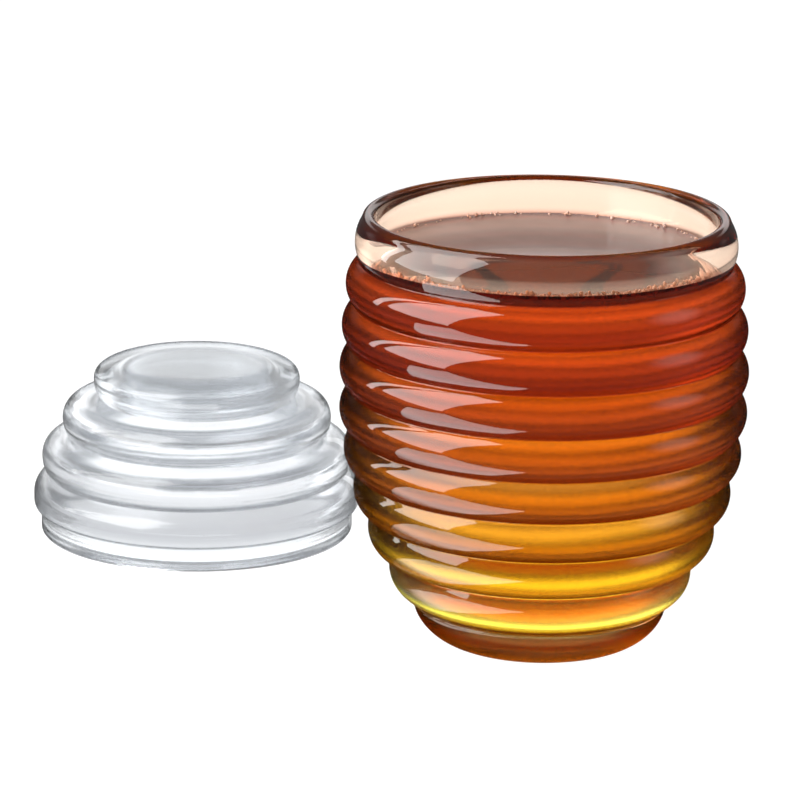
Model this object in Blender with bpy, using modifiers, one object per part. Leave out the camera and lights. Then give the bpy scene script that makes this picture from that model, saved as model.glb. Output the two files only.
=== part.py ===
"""A beehive-shaped clear glass pot of honey, with its glass lid standing beside it.

Lengths are metres, +Z is up, and the origin is the middle of the pot's foot, on the surface it stands on.
Every piece is turned: a half outline in the XZ plane, swept round Z by a Screw modifier.
"""

import math

import bpy

MM = 0.001
TURN_STEPS = 40
MERGE_DISTANCE = 0.01 * MM
GAP = 0.3 * MM

# Pot body: two half ellipses that meet at the widest place, which the rings touch
RING_COUNT = 8
RING_PITCH = 10.6 * MM
RING_RELIEF = 2.6 * MM
FOOT_HEIGHT = 10.2 * MM
WIDEST_RADIUS = 50.0 * MM
WIDEST_HEIGHT = 63.5 * MM
BELOW_WIDEST = 68.9 * MM
ABOVE_WIDEST = 110.0 * MM

# Foot
FOOT_RADIUS = 31.2 * MM
FOOT_LEDGE = 1.3 * MM
FOOT_SQUARENESS = 1.7
BASE_RADIUS = 22.0 * MM

# Neck and rim
POT_HEIGHT = 106.8 * MM
NECK_RADIUS = 46.4 * MM
RIM_RADIUS = 44.7 * MM
MOUTH_RADIUS = 41.5 * MM
NECK_BORE_START = 96.3 * MM

# Inside of the pot
WALL_AT_CREST = 3.4 * MM
INNER_RELIEF = 1.2 * MM
FLOOR_HEIGHT = 5.5 * MM
FLOOR_RADIUS = 19.0 * MM
HONEY_LEVEL = 96.8 * MM

# Lid: stacked rolls, the widest at the bottom, over a plain skirt that drops into the mouth
LID_PLACE = (-88.7 * MM, 87.2 * MM)
TIER_PITCH = 10.2 * MM
TIER_RADII = (43.1 * MM, 41.0 * MM, 35.5 * MM, 27.2 * MM)
ROLL_RADIUS = 5.1 * MM
TIER_UNDERCUT = 2.6 * MM
SKIRT_RADIUS = 41.2 * MM
SKIRT_HEIGHT = 6.3 * MM
SKIRT_EDGE = 0.8 * MM
SKIRT_BEVEL = 2.2 * MM
CROWN_RADIUS = 16.5 * MM
CROWN_HEIGHT = 45.4 * MM
CROWN_SQUARENESS = 2.6
LID_WALL = 4.7 * MM
LID_WALL_AT_NOTCH = 3.4 * MM
CEILING_THICKNESS = 4.0 * MM
CEILING_RADIUS = 15.0 * MM

# Segments along the outlines
RING_SEGMENTS = 6
INNER_RING_SEGMENTS = 3
RIM_SEGMENTS = 5
FOOT_SEGMENTS = 5
FLOOR_SEGMENTS = 4
ROLL_SEGMENTS = 4
SMALL_EDGE_SEGMENTS = 2


def clear_scene():
    """Remove whatever the open file holds."""
    for item in list(bpy.data.objects):
        bpy.data.objects.remove(item)


def make_collection(name):
    """Link a new collection under the scene."""
    collection = bpy.data.collections.new(name)
    bpy.context.scene.collection.children.link(collection)
    return collection


def make_material(name, colour, roughness, transmission, ior):
    """A Principled material with one colour."""
    material = bpy.data.materials.new(name)
    material.use_nodes = True
    shader = material.node_tree.nodes["Principled BSDF"]
    shader.inputs["Base Color"].default_value = (*colour, 1.0)
    shader.inputs["Roughness"].default_value = roughness
    shader.inputs["Metallic"].default_value = 0.0
    shader.inputs["Transmission Weight"].default_value = transmission
    shader.inputs["IOR"].default_value = ior
    material.diffuse_color = (*colour, 1.0)
    return material


def steps(count):
    """The shares 0 to 1 at the ends and between count equal segments."""
    return [i / count for i in range(count + 1)]


def quarter(start, end, segments, squareness=2.0, level_start=True):
    """A quarter of a superellipse from start to end, each a radius and a height.

    It leaves start level and reaches end upright, or the other way round.
    """
    points = []
    power = 2.0 / squareness
    for share in steps(segments):
        angle = share * math.pi / 2
        along = math.sin(angle) ** power
        rest = 1.0 - math.cos(angle) ** power
        if not level_start:
            along, rest = rest, along
        radius = start[0] + (end[0] - start[0]) * along
        height = start[1] + (end[1] - start[1]) * rest
        points.append((radius, height))
    return points


def bulge_between(start, end, crest_radius, segments):
    """A circular arc from start down to end that swells out to about crest_radius midway."""
    chord = math.dist(start, end)
    down = ((end[0] - start[0]) / chord, (end[1] - start[1]) / chord)
    outward = (-down[1], down[0])
    sagitta = (crest_radius - (start[0] + end[0]) / 2) / outward[0]
    arc_radius = (chord**2 / 4 + sagitta**2) / (2 * sagitta)
    points = []
    for share in steps(segments):
        along = (share - 0.5) * chord
        rise = math.sqrt(arc_radius**2 - along**2) - (arc_radius - sagitta)
        radius = start[0] + down[0] * share * chord + outward[0] * rise
        height = start[1] + down[1] * share * chord + outward[1] * rise
        points.append((radius, height))
    return points


def joined(*runs):
    """One outline from several runs, without the points where one starts as another ends."""
    outline = []
    for run in runs:
        for point in run:
            if not outline or math.dist(outline[-1], point) > MERGE_DISTANCE:
                outline.append(point)
    return outline


def inset(outline, distance):
    """The outline moved sideways by distance, to the left of its direction."""
    moved = []
    for i, point in enumerate(outline):
        before = outline[max(i - 1, 0)]
        after = outline[min(i + 1, len(outline) - 1)]
        length = math.dist(before, after)
        side = (-(after[1] - before[1]) / length, (after[0] - before[0]) / length)
        radius = max(point[0] + side[0] * distance, 0.0)
        moved.append((radius, point[1] + side[1] * distance))
    return moved


def body_radius(height):
    """The pot's radius over the rings' crests."""
    half = BELOW_WIDEST if height < WIDEST_HEIGHT else ABOVE_WIDEST
    return WIDEST_RADIUS * math.sqrt(1.0 - ((height - WIDEST_HEIGHT) / half) ** 2)


def notch(index):
    """The bottom of the groove under ring number index, counted from the top; 0 is over ring 1."""
    height = FOOT_HEIGHT + RING_PITCH * (RING_COUNT - index)
    return (body_radius(height) - RING_RELIEF, height)


def pot_outside():
    """The pot's outer outline, from the rim down to the middle of its foot."""
    under_lip = (RIM_RADIUS, POT_HEIGHT - (RIM_RADIUS - MOUTH_RADIUS) / 2)
    neck = bulge_between(under_lip, notch(0), NECK_RADIUS, RING_SEGMENTS)
    rings = []
    for index in range(RING_COUNT):
        top, bottom = notch(index), notch(index + 1)
        crest = body_radius((top[1] + bottom[1]) / 2)
        rings.append(bulge_between(top, bottom, crest, RING_SEGMENTS))
    foot_crest = (FOOT_RADIUS, FOOT_HEIGHT - FOOT_LEDGE)
    ledge = quarter(notch(RING_COUNT), foot_crest, SMALL_EDGE_SEGMENTS)
    foot = quarter(foot_crest, (BASE_RADIUS, 0.0), FOOT_SEGMENTS, FOOT_SQUARENESS, level_start=False)
    return joined(neck, *rings, ledge, foot, [(0.0, 0.0)])


def inner_radius(height):
    """The radius of the pot's inner wall, which follows the rings softly."""
    phase = (height - FOOT_HEIGHT) / RING_PITCH
    groove = (1.0 + math.cos(2.0 * math.pi * phase)) / 2.0
    return body_radius(height) - WALL_AT_CREST - INNER_RELIEF * groove


def pot_inside():
    """The pot's inner outline, from the middle of its floor up to the mouth."""
    floor_edge = (FLOOR_RADIUS, FLOOR_HEIGHT)
    wall_foot = (inner_radius(FOOT_HEIGHT), FOOT_HEIGHT)
    floor = quarter(floor_edge, wall_foot, FLOOR_SEGMENTS)
    wall = []
    for share in steps(RING_COUNT * INNER_RING_SEGMENTS):
        height = FOOT_HEIGHT + share * RING_COUNT * RING_PITCH
        wall.append((inner_radius(height), height))
    return joined([(0.0, FLOOR_HEIGHT)], floor, wall, [(MOUTH_RADIUS, NECK_BORE_START)])


def rim():
    """The rounded lip between the mouth and the outside of the neck: half a circle."""
    half = (RIM_RADIUS - MOUTH_RADIUS) / 2
    centre = (MOUTH_RADIUS + half, POT_HEIGHT - half)
    points = []
    for share in steps(RIM_SEGMENTS):
        angle = math.pi * (1.0 - share)
        points.append((centre[0] + half * math.cos(angle), centre[1] + half * math.sin(angle)))
    return points


def pot_outline():
    """The whole half section of the glass."""
    return joined(pot_inside(), rim(), pot_outside())


def honey_outline():
    """The half section of the honey, from the middle of its top down its side to the bottom."""
    bottom_up = inset(joined(pot_inside(), rim()[:1]), GAP)
    wetted = [point for point in bottom_up if point[1] < HONEY_LEVEL]
    last, following = wetted[-1], bottom_up[len(wetted)]
    share = (HONEY_LEVEL - last[1]) / (following[1] - last[1])
    edge = (last[0] + share * (following[0] - last[0]), HONEY_LEVEL)
    return [(0.0, HONEY_LEVEL), edge] + wetted[::-1]


def tier_height(index):
    """The height of the widest line of a lid roll; 0 is the lowest roll."""
    return TIER_PITCH * (index + 1)


def lid_notch(index):
    """The groove under roll number index."""
    return (TIER_RADII[index] - TIER_UNDERCUT, tier_height(index) - ROLL_RADIUS)


def lid_outside():
    """The lid's outer outline, from the middle of its crown down to the edge of its skirt."""
    top = len(TIER_RADII) - 1
    outline = [(0.0, CROWN_HEIGHT), (CROWN_RADIUS, CROWN_HEIGHT)]
    for index in range(top, -1, -1):
        widest = (TIER_RADII[index], tier_height(index))
        squareness = CROWN_SQUARENESS
        if index < top:
            roll_top = max(TIER_RADII[index] - ROLL_RADIUS, outline[-1][0])
            outline = joined(outline, [(roll_top, tier_height(index) + ROLL_RADIUS)])
            squareness = 2.0
        outline = joined(outline, quarter(outline[-1], widest, ROLL_SEGMENTS, squareness))
        if index > 0:
            underside = quarter(widest, lid_notch(index), ROLL_SEGMENTS - 1, level_start=False)
            outline = joined(outline, underside)
    band_bottom = (TIER_RADII[0], SKIRT_HEIGHT + TIER_RADII[0] - SKIRT_RADIUS)
    skirt_top = (SKIRT_RADIUS, SKIRT_HEIGHT)
    under_band = quarter(band_bottom, skirt_top, SMALL_EDGE_SEGMENTS, level_start=False)
    edge_start = (SKIRT_RADIUS, SKIRT_EDGE)
    edge_end = (SKIRT_RADIUS - SKIRT_EDGE, 0.0)
    edge = quarter(edge_start, edge_end, SMALL_EDGE_SEGMENTS, level_start=False)
    return joined(outline, under_band, edge)


def lid_inside():
    """The lid's inner outline, from the edge of its skirt up to the middle of the ceiling."""
    ceiling = CROWN_HEIGHT - CEILING_THICKNESS
    inner_edge = SKIRT_RADIUS - LID_WALL
    stations = [(inner_edge + SKIRT_BEVEL, 0.0), (inner_edge, SKIRT_BEVEL)]
    for index, radius in enumerate(TIER_RADII[:-1]):
        stations.append((radius - LID_WALL, tier_height(index)))
        above = lid_notch(index + 1)
        stations.append((above[0] - LID_WALL_AT_NOTCH, above[1]))
    wall = stations[:1]
    for start, end in zip(stations[1:], stations[2:]):
        middle = ((start[0] + end[0]) / 2, (start[1] + end[1]) / 2)
        wall = joined(wall, [start, middle, end])
    dome = quarter((CEILING_RADIUS, ceiling), wall[-1], ROLL_SEGMENTS, CROWN_SQUARENESS)
    return joined(wall, dome[::-1], [(0.0, ceiling)])


def lid_outline():
    """The whole half section of the lid's glass."""
    return joined(lid_outside(), lid_inside())


def turn(name, outline, material, collection, place=(0.0, 0.0)):
    """Sweep an outline of radii and heights once round Z into a closed named object."""
    mesh = bpy.data.meshes.new(name)
    vertices = [(radius, 0.0, height) for radius, height in outline]
    edges = [(i, i + 1) for i in range(len(vertices) - 1)]
    mesh.from_pydata(vertices, edges, [])
    mesh.materials.append(material)
    item = bpy.data.objects.new(name, mesh)
    item.location = (place[0], place[1], 0.0)
    collection.objects.link(item)
    screw = item.modifiers.new("Turn", "SCREW")
    screw.axis = "Z"
    screw.angle = 2.0 * math.pi
    screw.steps = TURN_STEPS
    screw.render_steps = TURN_STEPS
    screw.use_merge_vertices = True
    screw.merge_threshold = MERGE_DISTANCE
    screw.use_smooth_shade = True
    return item


def main():
    """Make the three pieces."""
    clear_scene()
    collection = make_collection("glass_honey_pot")
    pot_glass = make_material("Pot glass", (0.93, 0.94, 0.93), 0.02, 0.9, 1.5)
    lid_glass = make_material("Lid glass", (0.88, 0.90, 0.91), 0.03, 0.9, 1.5)
    honey = make_material("Honey", (0.66, 0.20, 0.01), 0.05, 0.3, 1.5)
    turn("pot", pot_outline(), pot_glass, collection)
    turn("honey", honey_outline(), honey, collection)
    turn("lid", lid_outline(), lid_glass, collection, LID_PLACE)


main()
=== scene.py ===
"""The looks of a beehive honey pot of clear glass, the honey in it and its stepped lid.

Lengths are metres, +Z is up, and the origin is the middle of the pot's foot. Each piece is a surface
on a grid: a half outline of radii and heights, turned round an upright axis.
"""

import math

import bpy
import numpy as np
from mathutils import Matrix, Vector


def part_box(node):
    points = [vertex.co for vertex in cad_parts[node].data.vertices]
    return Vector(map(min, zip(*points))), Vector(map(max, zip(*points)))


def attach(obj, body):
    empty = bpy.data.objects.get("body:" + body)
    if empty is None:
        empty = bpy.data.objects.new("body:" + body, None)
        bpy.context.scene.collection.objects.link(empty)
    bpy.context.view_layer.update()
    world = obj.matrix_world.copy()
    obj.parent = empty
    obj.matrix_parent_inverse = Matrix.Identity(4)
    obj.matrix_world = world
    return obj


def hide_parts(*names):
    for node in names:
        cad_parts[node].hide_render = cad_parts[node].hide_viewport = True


bl_info = {
    "name": "Glass honey pot",
    "version": (1, 0, 0),
    "blender": (4, 5, 0),
    "location": "3D View > Sidebar > Honey pot",
    "description": "Makes a beehive honey pot of clear glass, its honey, its lid and a plain studio",
    "category": "Add Mesh",
}

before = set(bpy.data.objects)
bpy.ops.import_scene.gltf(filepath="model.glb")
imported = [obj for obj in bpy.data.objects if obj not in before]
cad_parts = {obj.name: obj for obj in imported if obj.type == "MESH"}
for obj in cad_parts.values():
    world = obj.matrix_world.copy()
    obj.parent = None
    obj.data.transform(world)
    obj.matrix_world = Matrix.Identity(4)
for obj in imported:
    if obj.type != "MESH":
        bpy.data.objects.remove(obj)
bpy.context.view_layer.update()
POT_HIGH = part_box("pot")[1]
HONEY_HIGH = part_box("honey")[1]
LID_LOW, LID_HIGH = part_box("lid")

MM = 0.001

# How finely the outlines are worked out, and how far apart their points then are
FINE_STEP = 0.08 * MM
LONGEST_STEP = 2.4 * MM
LARGEST_TURN = math.radians(8.0)
TURN_SEGMENTS = 208
ARC_POINTS = 60

# The attribute that says where glass and honey touch
WETTED = "wetted"


def millimetres(name, value, description):
    """A length property whose default is given in millimetres."""
    return bpy.props.FloatProperty(
        name=name, description=description, default=value * MM, unit="LENGTH", precision=5
    )


def number(name, value, description):
    """A plain number property."""
    return bpy.props.FloatProperty(name=name, description=description, default=value)


def hex_colour(text):
    """An sRGB hex colour as linear red, green and blue."""
    channels = [int(text[i : i + 2], 16) / 255.0 for i in (1, 3, 5)]
    return [c / 12.92 if c <= 0.04045 else ((c + 0.055) / 1.055) ** 2.4 for c in channels]


def colour(name, text, description):
    """A colour property whose default is given in sRGB hex."""
    return bpy.props.FloatVectorProperty(
        name=name, description=description, default=hex_colour(text), subtype="COLOR", min=0.0, max=1.0
    )


class PotSizes(bpy.types.PropertyGroup):
    """The sizes of the ringed pot and of the honey in it."""

    ring_count: bpy.props.IntProperty(
        name="Rings", description="Rings between the foot and the neck", default=8
    )
    ring_pitch: millimetres("Ring pitch", 10.6, "Height from one ring to the next")
    ring_relief: millimetres("Ring relief", 2.6, "Depth of the grooves between the rings")
    groove_softness: millimetres("Groove softness", 0.3, "How far the bottoms of the grooves are rounded")
    foot_height: millimetres("Foot height", 10.2, "Height of the groove over the foot")
    foot_radius: millimetres("Foot radius", 31.2, "Widest radius of the foot")
    foot_ledge: millimetres("Foot ledge", 1.3, "Drop from the lowest groove to the foot's widest line")
    foot_squareness: number("Foot squareness", 1.7, "How square the foot's curve is: 2 is an ellipse")
    base_radius: millimetres("Base radius", 22.0, "Radius of the flat that the pot stands on")
    widest_height: millimetres("Widest height", 63.5, "Height of the widest place")
    below_widest: millimetres("Below widest", 68.9, "Half height of the ellipse under the widest place")
    above_widest: millimetres("Above widest", 110.0, "Half height of the ellipse over the widest place")
    neck_radius: millimetres("Neck radius", 46.4, "Radius of the plain neck over the rings")
    rim_radius: millimetres("Rim radius", 44.7, "Outer radius of the lip")
    mouth_radius: millimetres("Mouth radius", 41.5, "Radius of the mouth")
    bore_start: millimetres("Bore start", 96.3, "Height where the wall turns into the straight mouth")
    wall: millimetres("Wall", 3.4, "Thickness of the glass at the rings' crests")
    inner_relief: millimetres("Inner relief", 1.2, "How far the inner wall follows the grooves")
    floor_height: millimetres("Floor height", 5.5, "Top of the glass floor")
    floor_radius: millimetres("Floor radius", 19.0, "Radius of the flat floor")
    meniscus: millimetres("Meniscus", 0.5, "How far the honey climbs the glass")
    meniscus_reach: millimetres("Meniscus reach", 1.5, "How far from the glass the climb fades")
    overlap: millimetres("Overlap", 0.25, "How far the honey reaches into the glass, so that no air shows")


class LidSizes(bpy.types.PropertyGroup):
    """The sizes of the stepped lid."""

    tier_pitch: millimetres("Tier pitch", 10.2, "Height from one roll to the next")
    roll_radius: millimetres("Roll radius", 5.1, "Radius of the rolls' rounding")
    undercut: millimetres("Undercut", 2.6, "Depth of the grooves under the rolls")
    skirt_radius: millimetres("Skirt radius", 41.2, "Radius of the rim that drops into the mouth")
    skirt_height: millimetres("Skirt height", 6.3, "Height of that rim")
    skirt_edge: millimetres("Skirt edge", 0.8, "Rounding of its lower edge")
    skirt_bevel: millimetres("Skirt bevel", 2.2, "How far its inner edge is bevelled")
    crown_radius: millimetres("Crown radius", 16.5, "Radius of the flat top")
    crown_squareness: number("Crown squareness", 2.6, "How square the crown's curve is: 2 is an ellipse")
    wall: millimetres("Wall", 4.7, "Thickness of the glass at the rolls")
    wall_at_groove: millimetres("Wall at groove", 3.4, "Thickness of the glass at the grooves")
    ceiling: millimetres("Ceiling", 4.0, "Thickness of the crown")
    ceiling_radius: millimetres("Ceiling radius", 15.0, "Radius of the flat ceiling inside")
    softness: millimetres("Softness", 0.3, "How far the grooves and edges are rounded")


def arc(start, end, crest_radius):
    """Points on the circle through start and end whose bulge, midway, swells out to crest_radius."""
    start, end = np.array(start), np.array(end)
    chord = np.linalg.norm(end - start)
    down = (end - start) / chord
    outward = np.array((-down[1], down[0]))
    sagitta = (crest_radius - (start[0] + end[0]) / 2) / outward[0]
    circle = (chord**2 / 4 + sagitta**2) / (2 * sagitta)
    along = np.linspace(-chord / 2, chord / 2, ARC_POINTS)
    rise = np.sqrt(circle**2 - along**2) - (circle - sagitta)
    return (start + end) / 2 + along[:, None] * down + rise[:, None] * outward


def quarter(start, end, squareness=2.0, level_start=True):
    """A quarter of a superellipse: it leaves start level and reaches end upright, or the reverse."""
    angle = np.linspace(0.0, math.pi / 2, ARC_POINTS)
    along = np.sin(angle) ** (2.0 / squareness)
    rest = 1.0 - np.clip(np.cos(angle), 0.0, 1.0) ** (2.0 / squareness)
    if not level_start:
        along, rest = rest, along
    across, up = end[0] - start[0], end[1] - start[1]
    return np.column_stack((start[0] + across * along, start[1] + up * rest))


def measured(points):
    """The length along a line of points, up to each of them."""
    return np.append(0.0, np.cumsum(np.linalg.norm(np.diff(points, axis=0), axis=1)))


def sampled(points, where, places):
    """The line's points at the given places, where gives the places of the points it has."""
    return np.column_stack([np.interp(places, where, points[:, i]) for i in (0, 1)])


def softened(runs, blur):
    """One outline from several runs, with its corners rounded and its points spread by need.

    The line is cut into even fine steps. Each point moves to the mean of its neighbours, weighted by a bell
    as wide as blur. At the axis the line goes on as its own mirror image, so that it stays level there.
    Last, points are picked so that no step is long and no step turns much.
    """
    points = np.vstack(runs)
    apart = np.append(True, np.linalg.norm(np.diff(points, axis=0), axis=1) > FINE_STEP * 1e-3)
    points = points[apart]
    length = measured(points)
    fine = sampled(points, length, np.linspace(0.0, length[-1], int(length[-1] / FINE_STEP)))
    reach = int(3.0 * blur / FINE_STEP)
    weights = np.exp(-0.5 * (np.arange(-reach, reach + 1) * FINE_STEP / blur) ** 2)
    mirror = np.array((-1.0, 1.0))
    longer = np.vstack((fine[reach:0:-1] * mirror, fine, fine[-2 : -reach - 2 : -1] * mirror))
    soft = np.column_stack([np.convolve(longer[:, i], weights / weights.sum(), "valid") for i in (0, 1)])
    soft[[0, -1], 0] = 0.0
    step = np.diff(soft, axis=0)
    heading = np.unwrap(np.arctan2(step[:, 1], step[:, 0]))
    need = np.linalg.norm(step, axis=1) / LONGEST_STEP + np.abs(np.gradient(heading)) / LARGEST_TURN
    need = np.append(0.0, np.cumsum(need))
    return sampled(soft, need, np.linspace(0.0, need[-1], int(need[-1]) + 2))


def body_radius(sizes, height):
    """The pot's radius over the rings' crests: two half ellipses that meet at the widest place."""
    half = np.where(height < sizes.widest_height, sizes.below_widest, sizes.above_widest)
    return POT_HIGH.x * np.sqrt(1.0 - ((height - sizes.widest_height) / half) ** 2)


def groove(sizes, index):
    """The bottom of the groove under ring number index, counted from the top; 0 is over ring 1."""
    height = sizes.foot_height + sizes.ring_pitch * (sizes.ring_count - index)
    return (float(body_radius(sizes, height)) - sizes.ring_relief, height)


def pot_outside(sizes):
    """The neck, the rings as arcs from groove to groove, and the foot, from the lip down to the axis."""
    half_lip = (sizes.rim_radius - sizes.mouth_radius) / 2
    runs = [arc((sizes.rim_radius, POT_HIGH.z - half_lip), groove(sizes, 0), sizes.neck_radius)]
    for index in range(sizes.ring_count):
        top, bottom = groove(sizes, index), groove(sizes, index + 1)
        runs.append(arc(top, bottom, float(body_radius(sizes, (top[1] + bottom[1]) / 2))))
    widest = (sizes.foot_radius, sizes.foot_height - sizes.foot_ledge)
    runs.append(quarter(groove(sizes, sizes.ring_count), widest))
    runs.append(quarter(widest, (sizes.base_radius, 0.0), sizes.foot_squareness, level_start=False))
    return runs + [np.array([(0.0, 0.0)])]


def pot_inside(sizes):
    """The flat floor, a rounded corner and the wall, which follows the rings as a soft cosine wave."""
    ringed = sizes.ring_count * sizes.ring_pitch
    height = np.linspace(sizes.foot_height, sizes.foot_height + ringed, 8 * ARC_POINTS)
    wave = (1.0 + np.cos(2.0 * math.pi * (height - sizes.foot_height) / sizes.ring_pitch)) / 2.0
    radius = body_radius(sizes, height) - sizes.wall - sizes.inner_relief * wave
    floor = quarter((sizes.floor_radius, sizes.floor_height), (radius[0], height[0]))
    start = np.array([(0.0, sizes.floor_height)])
    mouth = np.array([(sizes.mouth_radius, sizes.bore_start)])
    return [start, floor, np.column_stack((radius, height)), mouth]


def pot_outline(sizes):
    """The pot's whole half section: up its inside, round the lip as half a circle, down its outside."""
    half_lip = (sizes.rim_radius - sizes.mouth_radius) / 2
    angle = np.linspace(math.pi, 0.0, ARC_POINTS)
    lip = np.column_stack((
        sizes.mouth_radius + half_lip + half_lip * np.cos(angle),
        POT_HIGH.z - half_lip + half_lip * np.sin(angle),
    ))
    return softened(pot_inside(sizes) + [lip] + pot_outside(sizes), sizes.groove_softness)


def honey_outline(sizes):
    """The honey's top, which climbs towards the glass by a falling exponential, and the wall it wets.

    Its side is the pot's inner line moved outwards by the overlap, cut off where the honey ends.
    """
    inner = np.vstack(pot_inside(sizes))
    length = measured(inner)
    inner = sampled(inner, length, np.linspace(0.0, length[-1], int(length[-1] / FINE_STEP)))
    slope = np.gradient(inner, axis=0)
    outward = np.column_stack((slope[:, 1], -slope[:, 0])) / np.linalg.norm(slope, axis=1)[:, None]
    side = inner + sizes.overlap * outward
    side[:, 0] = np.maximum(side[:, 0], 0.0)
    level = HONEY_HIGH.z
    side = side[side[:, 1] < level + sizes.meniscus]
    edge = side[-1, 0]
    radius = np.linspace(0.0, edge, 4 * ARC_POINTS)
    climb = sizes.meniscus * np.exp((radius - edge + sizes.overlap) / sizes.meniscus_reach)
    top = np.column_stack((radius, level + np.minimum(climb, sizes.meniscus)))
    return softened([top, side[::-1]], sizes.overlap / 2)


def lid_outline(sizes, radii):
    """The whole half section of the lid: down its rolls to the skirt's edge, then up its inside."""
    height = [sizes.tier_pitch * (index + 1) for index in range(len(radii))]
    crown = LID_HIGH.z
    runs = [np.array([(0.0, crown)]), np.array([(sizes.crown_radius, crown)])]
    for index in range(len(radii) - 1, -1, -1):
        widest = (radii[index], height[index])
        squareness = sizes.crown_squareness
        if index < len(radii) - 1:
            squareness = 2.0
            shoulder = max(radii[index] - sizes.roll_radius, runs[-1][-1][0])
            runs.append(np.array([(shoulder, height[index] + sizes.roll_radius)]))
        runs.append(quarter(tuple(runs[-1][-1]), widest, squareness))
        if index > 0:
            bottom = (radii[index] - sizes.undercut, height[index] - sizes.roll_radius)
            runs.append(quarter(widest, bottom, level_start=False))
    band_end = (radii[0], sizes.skirt_height + radii[0] - sizes.skirt_radius)
    runs.append(quarter(band_end, (sizes.skirt_radius, sizes.skirt_height), level_start=False))
    edge_start = (sizes.skirt_radius, sizes.skirt_edge)
    runs.append(quarter(edge_start, (sizes.skirt_radius - sizes.skirt_edge, 0.0), level_start=False))
    inner_edge = sizes.skirt_radius - sizes.wall
    inside = [(inner_edge + sizes.skirt_bevel, 0.0), (inner_edge, sizes.skirt_bevel)]
    for index in range(len(radii) - 1):
        inside.append((radii[index] - sizes.wall, height[index]))
        above = (radii[index + 1] - sizes.undercut, height[index + 1] - sizes.roll_radius)
        inside.append((above[0] - sizes.wall_at_groove, above[1]))
    ceiling = crown - sizes.ceiling
    dome = quarter((sizes.ceiling_radius, ceiling), inside[-1], sizes.crown_squareness)[::-1]
    return softened(runs + [np.array(inside), dome, np.array([(0.0, ceiling)])], sizes.softness)


# How the glass wanders off the round: how many waves go round it, and how long one is up it, in mm
UNEVEN_WAVES = ((1, 40.0), (2, 70.0), (3, 30.0), (5, 18.0), (8, 12.0))
# Nearer to the axis than this, it wanders less and less
WANDER_RADIUS = 15.0 * MM


def uneven(angle, height, depth, seed):
    """Pressed glass isn't quite round: a sum of slow waves round and up the piece, at most depth deep."""
    draw = np.random.default_rng(seed)
    total = np.zeros(np.broadcast(angle, height).shape)
    for around, length in UNEVEN_WAVES:
        phase = draw.uniform(0.0, 2.0 * math.pi)
        climb = 2.0 * math.pi * height / (length * MM)
        total += np.cos(around * angle + climb + phase) / around**0.5
    return depth * total / sum(around**-0.5 for around, length in UNEVEN_WAVES)


def wrapped_faces(rows, around):
    """Faces between rows of points that close round, and the fans to the two poles after those points."""
    i, j = np.meshgrid(np.arange(rows - 1), np.arange(around), indexing="ij")
    after = (j + 1) % around
    this, following = i * around, (i + 1) * around
    quads = np.stack((this + j, following + j, following + after, this + after), axis=-1)
    j = np.arange(around)
    after = (j + 1) % around
    last = (rows - 1) * around
    first_pole, last_pole = rows * around, rows * around + 1
    fans = np.vstack((
        np.column_stack((np.full_like(j, first_pole), j, after)),
        np.column_stack((last + j, np.full_like(j, last_pole), last + after)),
    ))
    return quads.reshape(-1, 4), fans


def turned(name, outline, centre, depth, seed, wetted=None):
    """A closed surface: point (i, j) is outline point i turned to angle j, its radius changed by uneven.

    Where wetted is given, each point keeps its outline point's share of it as the attribute wetted.
    """
    rows = outline[1:-1]
    angle = np.arange(TURN_SEGMENTS) * 2.0 * math.pi / TURN_SEGMENTS
    fade = np.minimum(rows[:, :1] / WANDER_RADIUS, 1.0)
    radius = rows[:, :1] + fade * uneven(angle[None, :], rows[:, 1:], depth, seed)
    height = np.broadcast_to(rows[:, 1:], radius.shape)
    across, deep = centre[0] + radius * np.cos(angle), centre[1] + radius * np.sin(angle)
    ring = np.stack((across, deep, height), axis=-1)
    poles = np.array([(*centre, outline[0, 1]), (*centre, outline[-1, 1])])
    points = np.vstack((ring.reshape(-1, 3), poles))
    item = surface(name, points, wrapped_faces(len(rows), TURN_SEGMENTS))
    if wetted is not None:
        shares = np.concatenate((np.repeat(wetted[1:-1], TURN_SEGMENTS), wetted[[0, -1]]))
        attribute = item.data.attributes.new(WETTED, "FLOAT", "POINT")
        attribute.data.foreach_set("value", shares.astype(np.float32))
    return item


def surface(name, points, face_groups):
    """A mesh object at the origin from an array of points and arrays of faces, shaded smooth."""
    mesh = bpy.data.meshes.new(name)
    loops = np.concatenate([faces.ravel() for faces in face_groups])
    totals = np.concatenate([np.full(len(faces), faces.shape[1]) for faces in face_groups])
    mesh.vertices.add(len(points))
    mesh.vertices.foreach_set("co", points.astype(np.float32).ravel())
    mesh.loops.add(len(loops))
    mesh.loops.foreach_set("vertex_index", loops.astype(np.int32))
    mesh.polygons.add(len(totals))
    mesh.polygons.foreach_set("loop_start", np.append(0, np.cumsum(totals)[:-1]).astype(np.int32))
    mesh.update(calc_edges=True)
    mesh.validate()
    mesh.shade_smooth()
    item = bpy.data.objects.new(name, mesh)
    bpy.context.scene.collection.objects.link(item)
    return item


def add_node(tree, kind, settings=None, links=None):
    """Add a node. Settings are properties, inputs' values or a ramp's stops; links feed its inputs."""
    node = tree.nodes.new(kind)
    for key, value in (settings or {}).items():
        if key == "stops":
            while len(node.color_ramp.elements) < len(value):
                node.color_ramp.elements.new(1.0)
            for point, (where, text) in zip(node.color_ramp.elements, value):
                point.position = where
                point.color = (*hex_colour(text), 1.0)
        elif isinstance(key, str) and hasattr(node, key):
            setattr(node, key, value)
        else:
            node.inputs[key].default_value = value
    for key, (source, output) in (links or {}).items():
        tree.links.new(source.outputs[output], node.inputs[key])
    return node


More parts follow.
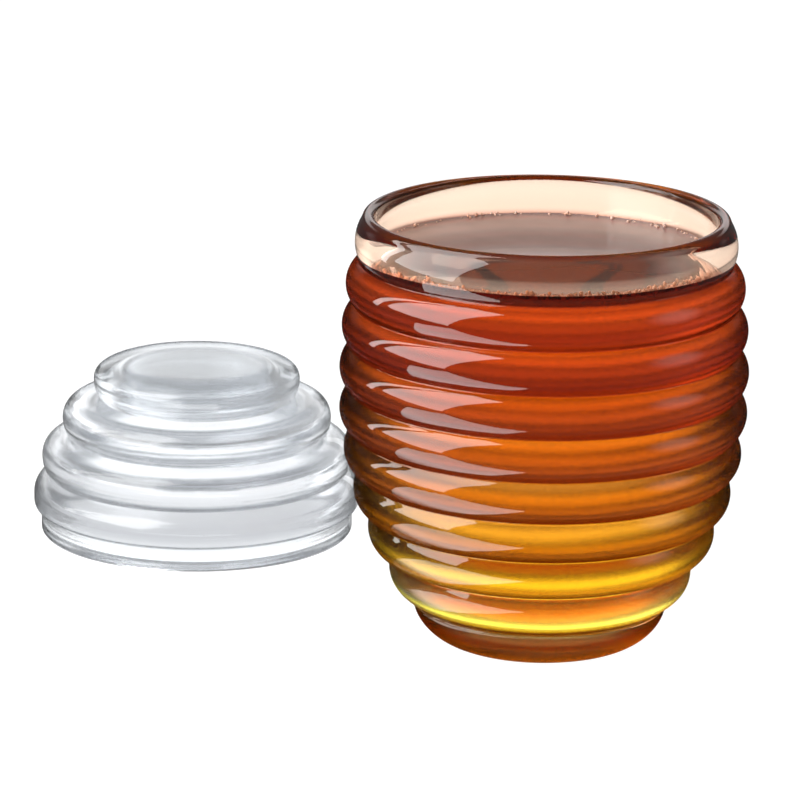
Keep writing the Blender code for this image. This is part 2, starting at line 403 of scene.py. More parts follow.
def new_material(name):
    """An empty node material, its output node and a node that gives the coordinates."""
    material = bpy.data.materials.new(name)
    material.use_nodes = True
    tree = material.node_tree
    tree.nodes.clear()
    return material, add_node(tree, "ShaderNodeOutputMaterial"), add_node(tree, "ShaderNodeTexCoord")


# Settings that many nodes share: a steady fall from 1 to 0, a product and an eased change
FALLING = {"To Min": 1.0, "To Max": 0.0}
PRODUCT = {"operation": "MULTIPLY"}
EASED = {"interpolation_type": "SMOOTHSTEP"}
# The inputs that give a change its start and end, and its values there
RANGE = ("From Min", "From Max", "To Min", "To Max")
WHITE = (1.0, 1.0, 1.0, 1.0)

# How slowly the roughness of a clear piece, its tint and the froth's colour drift over it
HAZE_DRIFT = 30.0 * MM
TINT_DRIFT = 25.0 * MM
FROTH_DRIFT = 14.0 * MM

GLASS_IOR = 1.5
HONEY_IOR = 1.49


def clear_medium(
    name, ior, absorption, density, waves, ripple_depth, haze, wet_haze, tints_and_painted_light, cover=None
):
    """A clear solid or liquid: a smooth refracting skin over a body that absorbs light evenly.

    The roughness drifts slowly over the skin, between the two of haze. Faint ripples bend its reflections:
    waves is the kind and settings of their texture. Where glass and honey touch, the roughness is wet_haze
    and nothing is mirrored, since both bend light alike. The skin's tint follows the height, as painted
    light and shade, on the pot with the honey's own amber in it, and wanders a little in brightness. cover,
    where it is given, makes the nodes of what lies over the skin or beside it, from the nodes made so far
    and the skin's links, and returns the last of them.
    """
    material, output, place = new_material(name)
    tree = material.node_tree
    parts = add_node(tree, "ShaderNodeSeparateXYZ", None, {"Vector": (place, "Object")})
    wetted = add_node(tree, "ShaderNodeAttribute", {"attribute_name": WETTED})
    settings = {"Scale": 1.0 / HAZE_DRIFT, "Detail": 2.0}
    drift = add_node(tree, "ShaderNodeTexNoise", settings, {"Vector": (place, "Object")})
    settings = {"To Min": haze[0], "To Max": haze[1]}
    dry = add_node(tree, "ShaderNodeMapRange", settings, {"Value": (drift, "Fac")})
    links = {"Value": (wetted, "Fac"), "To Min": (dry, "Result")}
    rough = add_node(tree, "ShaderNodeMapRange", {"To Max": wet_haze}, links)
    mirror = add_node(tree, "ShaderNodeMapRange", FALLING, {"Value": (wetted, "Fac")})
    ripple = add_node(tree, *waves, {"Vector": (place, "Object")})
    settings = {"Strength": 1.0, "Distance": ripple_depth}
    bump = add_node(tree, "ShaderNodeBump", settings, {"Height": (ripple, "Fac")})
    # Painted light and shade: the skin's tint follows the height
    height = add_node(tree, "ShaderNodeMapRange", {"From Max": TINT_TOP * MM}, {"Value": (parts, "Z")})
    stops = [(millimetre / TINT_TOP, text) for millimetre, text in tints_and_painted_light]
    tint = add_node(tree, "ShaderNodeValToRGB", {"stops": stops}, {"Fac": (height, "Result")})
    settings = {"Scale": 1.0 / TINT_DRIFT}
    wander = add_node(tree, "ShaderNodeTexNoise", settings, {"Vector": (place, "Object")})
    settings = {"To Min": TINT_LEVELS[0], "To Max": TINT_LEVELS[1]}
    level = add_node(tree, "ShaderNodeMapRange", settings, {"Value": (wander, "Fac")})
    links = {0: (tint, "Color"), "Scale": (level, "Result")}
    tinted = add_node(tree, "ShaderNodeVectorMath", {"operation": "SCALE"}, links)
    links = {
        "Base Color": (tinted, "Vector"),
        "Roughness": (rough, "Result"),
        "Specular Tint": (mirror, "Result"),
        "Normal": (bump, "Normal"),
    }
    settings = {"IOR": ior, "Transmission Weight": 1.0}
    skin = add_node(tree, "ShaderNodeBsdfPrincipled", settings, links)
    settings = {"Color": (*absorption, 1.0), "Density": density}
    body = add_node(tree, "ShaderNodeVolumeAbsorption", settings)
    made = {"place": place, "parts": parts, "wetted": wetted, "skin": skin, "links": links}
    covered = cover(tree, made) if cover else skin
    tree.links.new(covered.outputs[0], output.inputs["Surface"])
    tree.links.new(body.outputs["Volume"], output.inputs["Volume"])
    return material


# How the tint runs up each piece: heights in mm, and what passes both faces there. These runs are
# painted light and shade: the honey looks bright and golden low down, where light comes up from the
# floor, red-brown and darker higher up, and nearly black at its top.
HONEY_PAINTED_LIGHT = (
    (7.0, "#CEC648"),
    (11.5, "#E5FFF2"),
    (18.0, "#F5FFFF"),
    (25.0, "#C9D5A2"),
    (36.0, "#A9CDB7"),
    (52.0, "#BEF0FF"),
    (80.0, "#C0D8FA"),
    (91.5, "#EBF6FA"),
    (94.5, "#65688F"),
    (96.6, "#3A0A05"),
)
# Painted light and shade on the pot's glass, with the honey's own amber in it: orange at the foot, golden
# over the low rings, pink-red higher up, and a pale pinkish-brown painted shade over the neck
POT_AMBER_AND_PAINTED_LIGHT = (
    (0.4, "#FFF2C4"),
    (1.4, "#D07430"),
    (4.0, "#E27630"),
    (7.0, "#EE8A38"),
    (11.5, "#FFFFE1"),
    (18.0, "#FDFFD4"),
    (25.0, "#E7C261"),
    (36.0, "#DDA065"),
    (52.0, "#D88F86"),
    (80.0, "#DF7C7E"),
    (91.5, "#EA9589"),
    (94.5, "#DE796F"),
    (96.4, "#E79E89"),
    (98.2, "#ECCFB8"),
    (107.0, "#EED8C4"),
)
# Painted shade on the lid: grey, darkest round its lowest roll and lightest at the skirt's lower edge
LID_PAINTED_SHADE = (
    (1.0, "#F4F6F8"),
    (5.0, "#DEE1E3"),
    (9.0, "#ADAFB3"),
    (16.0, "#C0C2C5"),
    (24.0, "#E2E4E7"),
    (35.0, "#E9EBEE"),
    (46.0, "#CED1D4"),
)
# The height in mm at which the scale of the tint with its painted light and shade ends, and how far its
# brightness wanders
TINT_TOP = 110.0
TINT_LEVELS = (0.97, 1.03)

# How long the ripples of the glass and of the honey are, how far apart the lid's lines, and their depths
GLASS_WAVES = 9.0 * MM
HONEY_WAVES = 25.0 * MM
LID_LINES = 1.4 * MM
GLASS_RIPPLE = 0.012 * MM
LID_RIPPLE = 0.02 * MM
HONEY_RIPPLE = 0.03 * MM
# How long one band of Blender's wave texture is at a scale of 1
WAVE_BAND = 0.1 * math.pi

# The height at which the ringed wall ends, and how far under it the calm edges start to fade
RINGS_TOP = 97.0 * MM
RINGS_FADE = 3.0 * MM
# How far edge on the wall starts and ends to lose its mirror, and the share of it that it loses
CALM_FACING = (0.38, 0.6)
CALM_SHARE = 0.95


def calm_edge(tree, made):
    """The ringed wall seen edge on: it bends light but mirrors little, so that honey's colour fills it."""
    links = made["links"]
    facing = add_node(tree, "ShaderNodeLayerWeight", {"Blend": 0.5})
    settings = {**EASED, **dict(zip(RANGE, (*CALM_FACING, 0.0, CALM_SHARE)))}
    edge = add_node(tree, "ShaderNodeMapRange", settings, {"Value": (facing, "Facing")})
    settings = {**EASED, **dict(zip(RANGE, (RINGS_TOP - RINGS_FADE, RINGS_TOP, 1.0, 0.0)))}
    below = add_node(tree, "ShaderNodeMapRange", settings, {"Value": (made["parts"], "Z")})
    side = add_node(tree, "ShaderNodeNewGeometry")
    outside = add_node(tree, "ShaderNodeMapRange", FALLING, {"Value": (side, "Backfacing")})
    ringed = add_node(tree, "ShaderNodeMath", PRODUCT, {0: (edge, "Result"), 1: (below, "Result")})
    share = add_node(tree, "ShaderNodeMath", PRODUCT, {0: (ringed, "Value"), 1: (outside, "Result")})
    # The skin's colour is what two of its faces let through, so one face lets its square root through
    once = add_node(tree, "ShaderNodeGamma", {"Gamma": 0.5}, {"Color": links["Base Color"]})
    bent = add_node(
        tree,
        "ShaderNodeBsdfRefraction",
        {"IOR": GLASS_IOR},
        {"Color": (once, "Color"), "Roughness": links["Roughness"], "Normal": links["Normal"]},
    )
    links = {0: (share, "Value"), 1: (made["skin"], 0), 2: (bent, 0)}
    return add_node(tree, "ShaderNodeMixShader", None, links)


# The froth, which is partly a painted reflection on the honey's top: its roughness, how far under the
# honey's top it sets in, and its share from front to back
FROTH_ROUGHNESS = 0.25
FROTH_DEPTHS = (0.3 * MM, 0.1 * MM)
FROTH_PLACES = (-40.0 * MM, 10.0 * MM)
FROTH_SHARES = (0.15, 0.8)


def froth_and_painted_reflection(tree, made):
    """The fine froth that settles on honey in a jar: a mauve-grey film, densest towards the back.

    The mauve-grey is partly a painted reflection of the pale studio on the honey's top.
    """
    settings = {"Scale": 1.0 / FROTH_DRIFT}
    drift = add_node(tree, "ShaderNodeTexNoise", settings, {"Vector": (made["place"], "Object")})
    settings = {"stops": ((0.3, "#A88C88"), (0.7, "#9C807A"))}
    tint = add_node(tree, "ShaderNodeValToRGB", settings, {"Fac": (drift, "Fac")})
    settings = {"Roughness": FROTH_ROUGHNESS, "IOR": HONEY_IOR}
    froth = add_node(tree, "ShaderNodeBsdfPrincipled", settings, {"Base Color": (tint, "Color")})
    settings = {**EASED, **dict(zip(RANGE, (*FROTH_PLACES, *FROTH_SHARES)))}
    back = add_node(tree, "ShaderNodeMapRange", settings, {"Value": (made["parts"], "Y")})
    below, above = (HONEY_HIGH.z - depth for depth in FROTH_DEPTHS)
    settings = {**EASED, **dict(zip(RANGE, (below, above, 0.0, 1.0)))}
    top = add_node(tree, "ShaderNodeMapRange", settings, {"Value": (made["parts"], "Z")})
    dry = add_node(tree, "ShaderNodeMapRange", FALLING, {"Value": (made["wetted"], "Fac")})
    open_top = add_node(tree, "ShaderNodeMath", PRODUCT, {0: (top, "Result"), 1: (dry, "Result")})
    share = add_node(tree, "ShaderNodeMath", PRODUCT, {0: (open_top, "Value"), 1: (back, "Result")})
    links = {0: (share, "Value"), 1: (made["skin"], 0), 2: (froth, 0)}
    return add_node(tree, "ShaderNodeMixShader", None, links)


def pressed_glass(colours):
    """Pressed soda-lime glass: clear, faintly green-grey where thick, slightly wavy from its mould.

    Its skin's tint, which runs up the pot, carries the honey's own amber and painted light and shade.
    """
    return clear_medium(
        "Pressed soda-lime glass",
        ior=GLASS_IOR,
        absorption=colours.glass,
        density=colours.glass_density,
        waves=("ShaderNodeTexNoise", {"Scale": 1.0 / GLASS_WAVES, "Detail": 1.0}),
        ripple_depth=GLASS_RIPPLE,
        haze=(0.0, 0.02),
        wet_haze=0.0,
        tints_and_painted_light=POT_AMBER_AND_PAINTED_LIGHT,
        cover=calm_edge,
    )


def lid_glass(colours):
    """The same glass, pressed thicker: greyer, with fine level lines and a skin that blurs what it bends.

    Its grey tint by height, darkest round the lowest roll, is painted shade.
    """
    lines = {"bands_direction": "Z", "Scale": WAVE_BAND / LID_LINES, "Distortion": 1.5}
    return clear_medium(
        "Thick pressed soda-lime glass",
        ior=GLASS_IOR,
        absorption=colours.lid_glass,
        density=colours.lid_density,
        waves=("ShaderNodeTexWave", lines),
        ripple_depth=LID_RIPPLE,
        haze=(0.13, 0.2),
        wet_haze=0.0,
        tints_and_painted_light=LID_PAINTED_SHADE,
    )


def clear_honey(colours):
    """Filtered blossom honey: a clear syrup, golden where it is deep.

    Painted light and shade make it bright golden low down, red-brown and darker higher up and nearly black
    at its top. Its haze against the glass blurs the rings of the far side, which don't show through so much
    honey.
    """
    return clear_medium(
        "Filtered blossom honey",
        ior=HONEY_IOR,
        absorption=colours.honey,
        density=colours.honey_density,
        waves=("ShaderNodeTexNoise", {"Scale": 1.0 / HONEY_WAVES, "Detail": 1.0}),
        ripple_depth=HONEY_RIPPLE,
        haze=(0.0, 0.01),
        wet_haze=0.26,
        tints_and_painted_light=HONEY_PAINTED_LIGHT,
        cover=froth_and_painted_reflection,
    )


class HoneyPotColours(bpy.types.PropertyGroup):
    """The colours of the glass, the honey and the studio."""

    glass: colour("Pot glass", "#D8E4DE", "What the pot's glass lets through")
    lid_glass: colour("Lid glass", "#D4DCE0", "What the lid's glass lets through")
    honey: colour("Honey", "#F9E300", "What the honey lets through")
    glass_density: number("Pot glass density", 6.0, "Absorption per metre")
    lid_density: number("Lid glass density", 10.0, "Absorption per metre")
    honey_density: number("Honey density", 30.0, "Absorption per metre")
    floor: colour("Floor", "#707070", "The studio floor")


class StudioSizes(bpy.types.PropertyGroup):
    """The brightness of the studio round the pot."""

    world_behind: number("Behind", 1.2, "Brightness behind the pot")
    world_side: number("Sides", 0.62, "Brightness at the sides and in front")
    world_high: number("Overhead", 0.8, "Share of it overhead")
    reflected: number("Reflected", 0.08, "Brightness that gloss shows")
    mirrored: number("Mirrored", 1.2, "Brightness behind that gloss shows")
    left_panel: number("Left panel", 6.0, "Brightness of the panel at the left")
    left_strip: number("Left strip", 6.0, "Brightness of the narrow panel at the left")
    right_panel: number("Right panel", 1.0, "Brightness of the panel at the right")
    glow_card: number("Glow card", 2.4, "Brightness of the low card behind the pot")
    left_card: number("Left card", 1.6, "Brightness of the card behind the pot to the left")
    lit_floor: number("Lit floor", 4.2, "Brightness of the floor at the left")
    floor_glow: number("Floor glow", 0.25, "Light that the floor gives")
    floor_white: number("Floor white", 1.35, "How white the floor looks")


def dress(item, node, material):
    """Give a piece its material, hide the imported part that it stands for, if any, and let it ride on the
    one body.
    """
    item.data.materials.append(material)
    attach(item, "root")
    if node:
        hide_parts(node)


# How far the glass is off the round, and what its random waves start from
UNEVENNESS = 0.10 * MM
POT_SEED = 3
LID_SEED = 8
# The radii of the lid's rolls, from the lowest to the crown
LID_RADII = (43.1 * MM, 41.0 * MM, 35.5 * MM, 27.2 * MM)


class HONEYPOT_OT_pot(bpy.types.Operator):
    """Make the ringed glass pot"""

    bl_idname = "honeypot.pot"
    bl_label = "Pot"

    def execute(self, context):
        scene = context.scene
        outline = pot_outline(scene.pot_sizes)
        top = HONEY_HIGH.z + scene.pot_sizes.meniscus
        # The outline starts inside, so the wall is wetted until the line first rises over the honey's edge
        wetted = np.cumsum(outline[:, 1] > top) == 0
        item = turned("pot_glass", outline, (0.0, 0.0), UNEVENNESS, POT_SEED, wetted)
        dress(item, "pot", pressed_glass(scene.honey_pot_colours))
        return {"FINISHED"}


class HONEYPOT_OT_honey(bpy.types.Operator):
    """Make the honey up to its level"""

    bl_idname = "honeypot.honey"
    bl_label = "Honey"

    def execute(self, context):
        scene = context.scene
        outline = honey_outline(scene.pot_sizes)
        # The outline starts with the honey's top, and all that follows its highest point touches glass
        wetted = np.arange(len(outline)) > np.argmax(outline[:, 1])
        item = turned("clear_honey", outline, (0.0, 0.0), UNEVENNESS, POT_SEED, wetted)
        dress(item, "honey", clear_honey(scene.honey_pot_colours))
        return {"FINISHED"}


class HONEYPOT_OT_lid(bpy.types.Operator):
    """Make the stepped glass lid"""

    bl_idname = "honeypot.lid"
    bl_label = "Lid"

    def execute(self, context):
        scene = context.scene
        centre = ((LID_LOW.x + LID_HIGH.x) / 2, (LID_LOW.y + LID_HIGH.y) / 2)
        outline = lid_outline(scene.lid_sizes, LID_RADII)
        item = turned("stepped_lid", outline, centre, UNEVENNESS, LID_SEED)
        dress(item, "lid", lid_glass(scene.honey_pot_colours))
        return {"FINISHED"}


# Bubbles: how many, their radii, a little larger than life so that they show, their mean height over the
# honey's level, how far they spread up and down and in from the glass, and the gap that they keep to it
BUBBLES = 700
BUBBLE_RADII = (0.14 * MM, 0.5 * MM)
BUBBLE_RISE = 0.4 * MM
BUBBLE_SPREAD = 0.35 * MM
BUBBLE_REACH = 1.0 * MM
BUBBLE_GAP = 0.2 * MM
# Powers that make most bubbles small, and most of them keep to the glass
SMALL_BIAS = 2.5
EDGE_BIAS = 2
# Bunches: how many, the share of bubbles in them, their middle in degrees, and spreads in radians
BUBBLE_BUNCHES = 14
BUNCHED_SHARE = 0.7
BUBBLE_SIDE = -60.0
BUNCHES_SPREAD = 0.9
BUNCH_SPREAD = 0.16
BUBBLE_SEED = 12
# The grid of one bubble: points round it, and rows of them between its poles
BUBBLE_AROUND = 8
BUBBLE_ROWS = 5


def bubble_shape():
    """A unit sphere of few faces: rings of points at even angles round and up, and its two poles."""
    turn = np.arange(BUBBLE_AROUND) * 2.0 * math.pi / BUBBLE_AROUND
    tilt = np.linspace(0.0, math.pi, BUBBLE_ROWS + 2)[1:-1, None]
    up = np.broadcast_to(np.cos(tilt), (BUBBLE_ROWS, BUBBLE_AROUND))
    ring = np.stack((np.sin(tilt) * np.cos(turn), np.sin(tilt) * np.sin(turn), up), axis=-1)
    points = np.vstack((ring.reshape(-1, 3), [(0.0, 0.0, 1.0), (0.0, 0.0, -1.0)]))
    return points, wrapped_faces(BUBBLE_ROWS, BUBBLE_AROUND)


def bubble_places(sizes):
    """Centres and radii: small beads that float along the honey's edge, bunched most at the front right."""
    draw = np.random.default_rng(BUBBLE_SEED)
    low, high = BUBBLE_RADII
    radius = low + (high - low) * draw.uniform(0.0, 1.0, BUBBLES) ** SMALL_BIAS
    bunches = math.radians(BUBBLE_SIDE) + draw.normal(0.0, BUNCHES_SPREAD, BUBBLE_BUNCHES)
    bunch = bunches[draw.integers(0, BUBBLE_BUNCHES, BUBBLES)]
    bunched = bunch + draw.normal(0.0, BUNCH_SPREAD, BUBBLES)
    in_bunch = draw.uniform(0.0, 1.0, BUBBLES) < BUNCHED_SHARE
    angle = np.where(in_bunch, bunched, draw.uniform(0.0, 2.0 * math.pi, BUBBLES))
    height = HONEY_HIGH.z + draw.normal(BUBBLE_RISE, BUBBLE_SPREAD, BUBBLES)
    away = draw.uniform(0.0, 1.0, BUBBLES) ** EDGE_BIAS * BUBBLE_REACH
    reach = sizes.mouth_radius - UNEVENNESS - BUBBLE_GAP - radius - away
    return np.column_stack((reach * np.cos(angle), reach * np.sin(angle), height)), radius


# The bubbles' skin: the length over which it varies, its highest roughness, its IOR and its clearness
BUBBLE_PATCHES = 2.0 * MM
BUBBLE_ROUGHNESS = 0.3
BUBBLE_IOR = 1.33
BUBBLE_CLEARNESS = 0.2


def bubble_skin_and_glint():
    """The skin of an air bubble caught in honey: thin and glossy, so that it shows as a pale bead.

    Its pale pinkish colour is a painted glint.
    """
    material, output, place = new_material("Air bubble skin")
    tree = material.node_tree
    settings = {"Scale": 1.0 / BUBBLE_PATCHES}
    drift = add_node(tree, "ShaderNodeTexNoise", settings, {"Vector": (place, "Object")})
    rough = add_node(tree, "ShaderNodeMapRange", {"To Max": BUBBLE_ROUGHNESS}, {"Value": (drift, "Fac")})
    # A painted glint: the skin's pale pinkish colour
    settings = {"stops": ((0.3, "#FFE6D8"), (0.7, "#F4C0A4"))}
    tint = add_node(tree, "ShaderNodeValToRGB", settings, {"Fac": (drift, "Fac")})
    links = {"Base Color": (tint, "Color"), "Roughness": (rough, "Result")}
    settings = {"IOR": BUBBLE_IOR, "Transmission Weight": BUBBLE_CLEARNESS}
    skin = add_node(tree, "ShaderNodeBsdfPrincipled", settings, links)
    tree.links.new(skin.outputs["BSDF"], output.inputs["Surface"])
    return material


class HONEYPOT_OT_bubbles(bpy.types.Operator):
    """Make the small air bubbles caught along the honey's edge"""

    bl_idname = "honeypot.bubbles"
    bl_label = "Bubbles"

    def execute(self, context):
        centres, radii = bubble_places(context.scene.pot_sizes)
        shape, face_groups = bubble_shape()
        points = centres[:, None, :] + radii[:, None, None] * shape[None, :, :]
        shift = np.arange(len(radii))[:, None, None] * len(shape)
        faces = [(group[None] + shift).reshape(-1, group.shape[1]) for group in face_groups]
        item = surface("air_bubbles", points.reshape(-1, 3), faces)
        dress(item, None, bubble_skin_and_glint())
        return {"FINISHED"}


# The camera that the photograph's outlines fit
CAMERA_PLACE = (-35.0 * MM, -1059.5 * MM, 353.4 * MM)
CAMERA_TILT_DOWN = 15.5
CAMERA_ROLL = 0.66
CAMERA_LENS = 202.5
CAMERA_SENSOR = 36.0
CAMERA_REACH = 100.0


def make_camera(context):
    """The photograph's view: straight along +Y, looking down, with a long lens."""
    data = bpy.data.cameras.new("Camera")
    data.sensor_width = CAMERA_SENSOR
    data.lens = CAMERA_LENS
    data.clip_end = CAMERA_REACH
    camera = bpy.data.objects.new("Camera", data)
    tilt = Matrix.Rotation(math.radians(90.0 - CAMERA_TILT_DOWN), 4, "X")
    roll = Matrix.Rotation(math.radians(CAMERA_ROLL), 4, "Z")
    camera.matrix_world = Matrix.Translation(CAMERA_PLACE) @ tilt @ roll
    context.scene.collection.objects.link(camera)
    context.scene.camera = camera


# The floor: its drop under the foot, half its side, its roughness and the length over which that drifts
FLOOR_DROP = 0.2 * MM
FLOOR_HALF = 30.0
FLOOR_ROUGHNESS = (0.55, 0.65)
FLOOR_DRIFT = 250.0 * MM
FLOOR_GLOSS = 0.2
# From the camera's side to the back, in metres: where its glow sets in, and where it fades far behind
FLOOR_NEAR = (-0.09, -0.02)
FLOOR_FAR = (0.8, 2.5)


def make_floor(colours, studio):
    """A wide pale floor just under the pot's foot, lit from above and shining white towards the camera."""
    corners = np.array([(-1, -1), (1, -1), (1, 1), (-1, 1)]) * FLOOR_HALF
    points = np.column_stack((corners, np.full(4, -FLOOR_DROP)))
    item = surface("studio_floor", points, [np.array([[0, 1, 2, 3]])])
    material, output, place = new_material("Matt white acrylic")
    tree = material.node_tree
    settings = {"Scale": 1.0 / FLOOR_DRIFT}
    drift = add_node(tree, "ShaderNodeTexNoise", settings, {"Vector": (place, "Object")})
    settings = {"To Min": FLOOR_ROUGHNESS[0], "To Max": FLOOR_ROUGHNESS[1]}
    rough = add_node(tree, "ShaderNodeMapRange", settings, {"Value": (drift, "Fac")})
    parts = add_node(tree, "ShaderNodeSeparateXYZ", None, {"Vector": (place, "Object")})
    ray = add_node(tree, "ShaderNodeLightPath")
    settings = {**EASED, **dict(zip(RANGE, (*FLOOR_NEAR, studio.floor_glow, studio.floor_white)))}
    near = add_node(tree, "ShaderNodeMapRange", settings, {"Value": (parts, "Y")})
    settings = {**EASED, **dict(zip(RANGE, (*FLOOR_FAR, 1.0, studio.floor_glow)))}
    far = add_node(tree, "ShaderNodeMapRange", settings, {"Value": (parts, "Y")})
    depth = add_node(tree, "ShaderNodeMath", PRODUCT, {0: (near, "Result"), 1: (far, "Result")})
    links = {"Value": (ray, "Is Camera Ray"), "To Min": (depth, "Value")}
    glow = add_node(tree, "ShaderNodeMapRange", {"To Max": 1.0}, links)
    settings = {
        "Base Color": (*colours.floor, 1.0),
        "Specular IOR Level": FLOOR_GLOSS,
        "Emission Color": WHITE,
    }
    links = {"Roughness": (rough, "Result"), "Emission Strength": (glow, "Result")}
    skin = add_node(tree, "ShaderNodeBsdfPrincipled", settings, links)
    tree.links.new(skin.outputs["BSDF"], output.inputs["Surface"])
    item.data.materials.append(material)
    # Gloss mirrors the lit patch alone, and not the whole floor
    item.visible_glossy = False


# How far to the left the backdrop's middle lies, in degrees, as light bent by glass and honey sees it
BACKDROP_TURN = 16.0
# Where parts of the sky set in, as shares of a direction: towards the back, then upwards
BACKDROP_EDGE = (0.6, 0.9)
HORIZON = (0.06, 0.2)
OVERHEAD = (0.35, 0.75)
LOW_SKY = (0.285, 0.335)
LOW_SKY_SHARE = 0.08


def make_world(context, studio):
    """Soft light from all round, brightest behind the pot and dimmest overhead.

    The camera sees it plain white. Gloss sees it dim, but for the bright backdrop over the horizon.
    """
    world = bpy.data.worlds.new("Studio")
    context.scene.world = world
    world.use_nodes = True
    tree = world.node_tree
    tree.nodes.clear()
    output = add_node(tree, "ShaderNodeOutputWorld")
    way = add_node(tree, "ShaderNodeTexCoord")
    parts = add_node(tree, "ShaderNodeSeparateXYZ", None, {"Vector": (way, "Generated")})
    ray = add_node(tree, "ShaderNodeLightPath")
    settings = {**EASED, **dict(zip(RANGE, (*HORIZON, 0.0, 1.0)))}
    over_horizon = add_node(tree, "ShaderNodeMapRange", settings, {"Value": (parts, "Z")})
    turn = math.radians(BACKDROP_TURN)
    settings = {"operation": "DOT_PRODUCT", 1: (-math.sin(turn), math.cos(turn), 0.0)}
    towards = add_node(tree, "ShaderNodeVectorMath", settings, {0: (way, "Generated")})
    settings = {**EASED, **dict(zip(RANGE, (*BACKDROP_EDGE, 0.0, 1.0)))}
    behind = add_node(tree, "ShaderNodeMapRange", settings, {"Value": (towards, "Value")})
    links = {0: (behind, "Result"), 1: (over_horizon, "Result")}
    backdrop = add_node(tree, "ShaderNodeMath", PRODUCT, links)
    straight = add_node(tree, "ShaderNodeMapRange", settings, {"Value": (parts, "Y")})
    links = {0: (straight, "Result"), 1: (over_horizon, "Result")}
    gloss_backdrop = add_node(tree, "ShaderNodeMath", PRODUCT, links)
    settings = {**EASED, **dict(zip(RANGE, (*OVERHEAD, 1.0, studio.world_high)))}
    above = add_node(tree, "ShaderNodeMapRange", settings, {"Value": (parts, "Z")})
    settings = {"To Min": studio.world_side, "To Max": studio.world_behind}
    level = add_node(tree, "ShaderNodeMapRange", settings, {"Value": (backdrop, "Value")})
    passed = add_node(tree, "ShaderNodeMath", PRODUCT, {0: (level, "Result"), 1: (above, "Result")})
    settings = {**EASED, **dict(zip(RANGE, (*LOW_SKY, 1.0, LOW_SKY_SHARE)))}
    low_sky = add_node(tree, "ShaderNodeMapRange", settings, {"Value": (parts, "Z")})
    links = {0: (gloss_backdrop, "Value"), 1: (low_sky, "Result")}
    share = add_node(tree, "ShaderNodeMath", PRODUCT, links)
    settings = {"To Min": studio.reflected, "To Max": studio.mirrored}
    mirrored = add_node(tree, "ShaderNodeMapRange", settings, {"Value": (share, "Value")})
    links = {
        "Value": (ray, "Is Reflection Ray"),
        "To Min": (passed, "Value"),
        "To Max": (mirrored, "Result"),
    }
    indirect = add_node(tree, "ShaderNodeMapRange", None, links)
    links = {"Value": (ray, "Is Camera Ray"), "To Min": (indirect, "Result")}
    strength = add_node(tree, "ShaderNodeMapRange", {"To Max": 1.0}, links)
    sky = add_node(tree, "ShaderNodeBackground", {"Color": WHITE}, {"Strength": (strength, "Result")})
    tree.links.new(sky.outputs["Background"], output.inputs["Surface"])


def make_panel(context, name, azimuth, distance, width, low, high, lean, brightness):
    """An upright soft panel that faces the pot. Azimuth is 0 towards the camera and grows to the right."""
    turn = math.radians(azimuth)
    place = (distance * math.sin(turn), -distance * math.cos(turn), (low + high) / 2)
    upright = Matrix.Rotation(turn, 4, "Z") @ Matrix.Rotation(math.radians(90.0), 4, "X")
    upright = upright @ Matrix.Rotation(math.radians(lean), 4, "Z")
    return make_lamp(context, name, Matrix.Translation(place) @ upright, width, high - low, brightness)


# Where a soft lamp's light starts and ends to fade, from its middle, as shares of its side
LAMP_FADE = (0.1, 0.5)


def soften_lamp(lamp):
    """Let a lamp's brightness fade from its middle to its edges."""
    lamp.data.use_nodes = True
    tree = lamp.data.node_tree
    tree.nodes.clear()
    output = add_node(tree, "ShaderNodeOutputLight")
    shape = add_node(tree, "ShaderNodeNewGeometry")
    settings = {"operation": "DISTANCE", 1: (0.5, 0.5, 0.0)}
    middle = add_node(tree, "ShaderNodeVectorMath", settings, {0: (shape, "Parametric")})
    settings = {**EASED, **dict(zip(RANGE, (*LAMP_FADE, 1.0, 0.0)))}
    fade = add_node(tree, "ShaderNodeMapRange", settings, {"Value": (middle, "Value")})
    glow = add_node(tree, "ShaderNodeEmission", None, {"Strength": (fade, "Result")})
    tree.links.new(glow.outputs["Emission"], output.inputs["Surface"])


def make_lamp(context, name, place, width, height, brightness):
    """A flat lamp of even brightness that the camera doesn't see."""
    data = bpy.data.lights.new(name, "AREA")
    data.shape = "RECTANGLE"
    data.size = width
    data.size_y = height
    data.energy = brightness * math.pi * width * height
    lamp = bpy.data.objects.new(name, data)
    lamp.matrix_world = place
    lamp.visible_camera = False
    context.scene.collection.objects.link(lamp)
    return lamp


# The panels: azimuth in degrees, then distance, width, bottom and top in metres, and lean in degrees
PANELS = {
    "glow_card": (180.0, 0.085, 0.13, -0.03, 0.06, 0.0),
    "left_card": (-146.0, 0.4, 0.3, -0.02, 0.32, 0.0),
    "left_panel": (-64.0, 0.33, 0.28, 0.05, 0.64, -16.0),
    "left_strip": (-94.0, 0.33, 0.035, 0.05, 0.62, -16.0),
    "right_panel": (76.0, 0.5, 0.42, -0.05, 0.45, 0.0),
}
SOFT_PANELS = ("glow_card", "left_card", "right_panel")
UNMIRRORED_PANELS = ("glow_card", "left_card")

# The lit patch of floor at the left: its middle, its turn in degrees, its width and its depth
LIT_FLOOR_PLACE = (-0.125, -0.072, 0.001)
LIT_FLOOR_TURN = 20.0
LIT_FLOOR_SIZE = (0.2, 0.1)

# How far light is followed through the glass and the honey
LIGHT_PATHS = {
    "max_bounces": 12,
    "transmission_bounces": 12,
    "glossy_bounces": 6,
    "transparent_max_bounces": 16,
    "use_denoising": True,
    "use_light_tree": False,
    "blur_glossy": 0.0,
    "sample_clamp_indirect": 8.0,
}


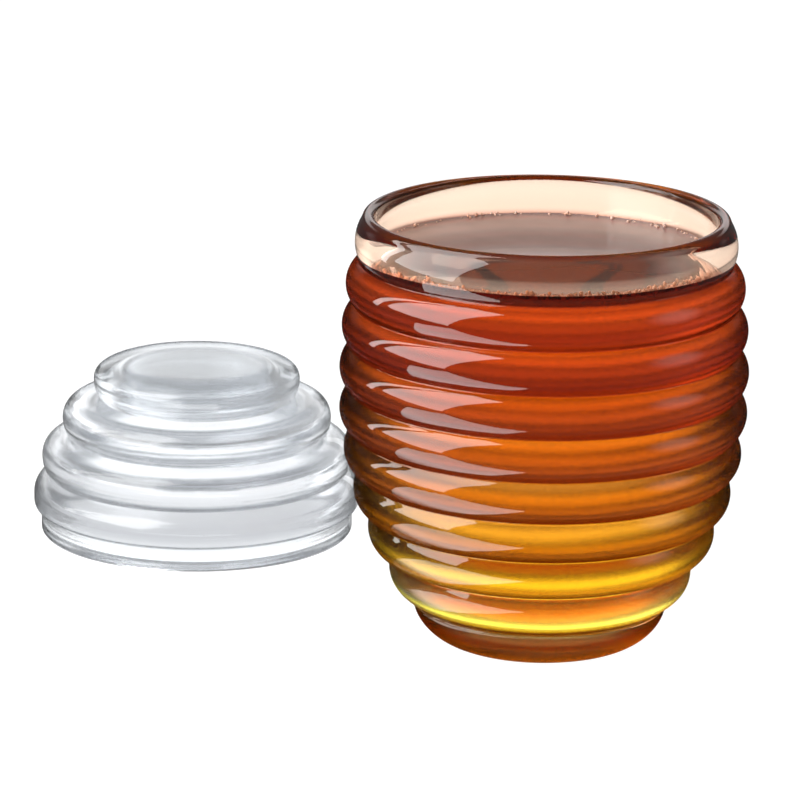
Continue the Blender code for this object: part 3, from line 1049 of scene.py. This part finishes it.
class HONEYPOT_OT_stage(bpy.types.Operator):
    """Make the camera, the floor and the studio's light"""

    bl_idname = "honeypot.stage"
    bl_label = "Stage"

    def execute(self, context):
        scene, studio = context.scene, context.scene.studio_sizes
        make_camera(context)
        make_floor(scene.honey_pot_colours, studio)
        make_world(context, studio)
        for name, place in PANELS.items():
            lamp = make_panel(context, name, *place, getattr(studio, name))
            lamp.visible_glossy = name not in UNMIRRORED_PANELS
            if name in SOFT_PANELS:
                soften_lamp(lamp)
        turn = Matrix.Rotation(math.radians(LIT_FLOOR_TURN), 4, "Z") @ Matrix.Rotation(math.pi, 4, "X")
        patch = Matrix.Translation(LIT_FLOOR_PLACE) @ turn
        make_lamp(context, "lit_floor", patch, *LIT_FLOOR_SIZE, studio.lit_floor)
        scene.view_settings.view_transform = "Standard"
        for key, value in LIGHT_PATHS.items():
            setattr(scene.cycles, key, value)
        return {"FINISHED"}


class HONEYPOT_PT_panel(bpy.types.Panel):
    """The pieces in the order in which they are made"""

    bl_label = "Glass honey pot"
    bl_idname = "HONEYPOT_PT_panel"
    bl_space_type = "VIEW_3D"
    bl_region_type = "UI"
    bl_category = "Honey pot"

    def draw(self, context):
        layout = self.layout
        for operator in OPERATORS:
            layout.operator(operator.bl_idname)
        for name in GROUPS:
            settings = getattr(context.scene, name)
            for key in settings.__annotations__:
                layout.prop(settings, key)


GROUPS = {
    "pot_sizes": PotSizes,
    "lid_sizes": LidSizes,
    "honey_pot_colours": HoneyPotColours,
    "studio_sizes": StudioSizes,
}
OPERATORS = (HONEYPOT_OT_pot, HONEYPOT_OT_honey, HONEYPOT_OT_bubbles, HONEYPOT_OT_lid, HONEYPOT_OT_stage)
CLASSES = (*GROUPS.values(), *OPERATORS, HONEYPOT_PT_panel)


def register():
    """Register the classes and hang their settings on the scene."""
    for kind in CLASSES:
        bpy.utils.register_class(kind)
    for name, group in GROUPS.items():
        setattr(bpy.types.Scene, name, bpy.props.PointerProperty(type=group))


def unregister():
    """Undo register."""
    for name in GROUPS:
        delattr(bpy.types.Scene, name)
    for kind in reversed(CLASSES):
        bpy.utils.unregister_class(kind)


def main():
    """Make every piece in order."""
    register()
    bpy.ops.honeypot.pot()
    bpy.ops.honeypot.honey()
    bpy.ops.honeypot.bubbles()
    bpy.ops.honeypot.lid()
    bpy.ops.honeypot.stage()


if __name__ == "__main__":
    main()
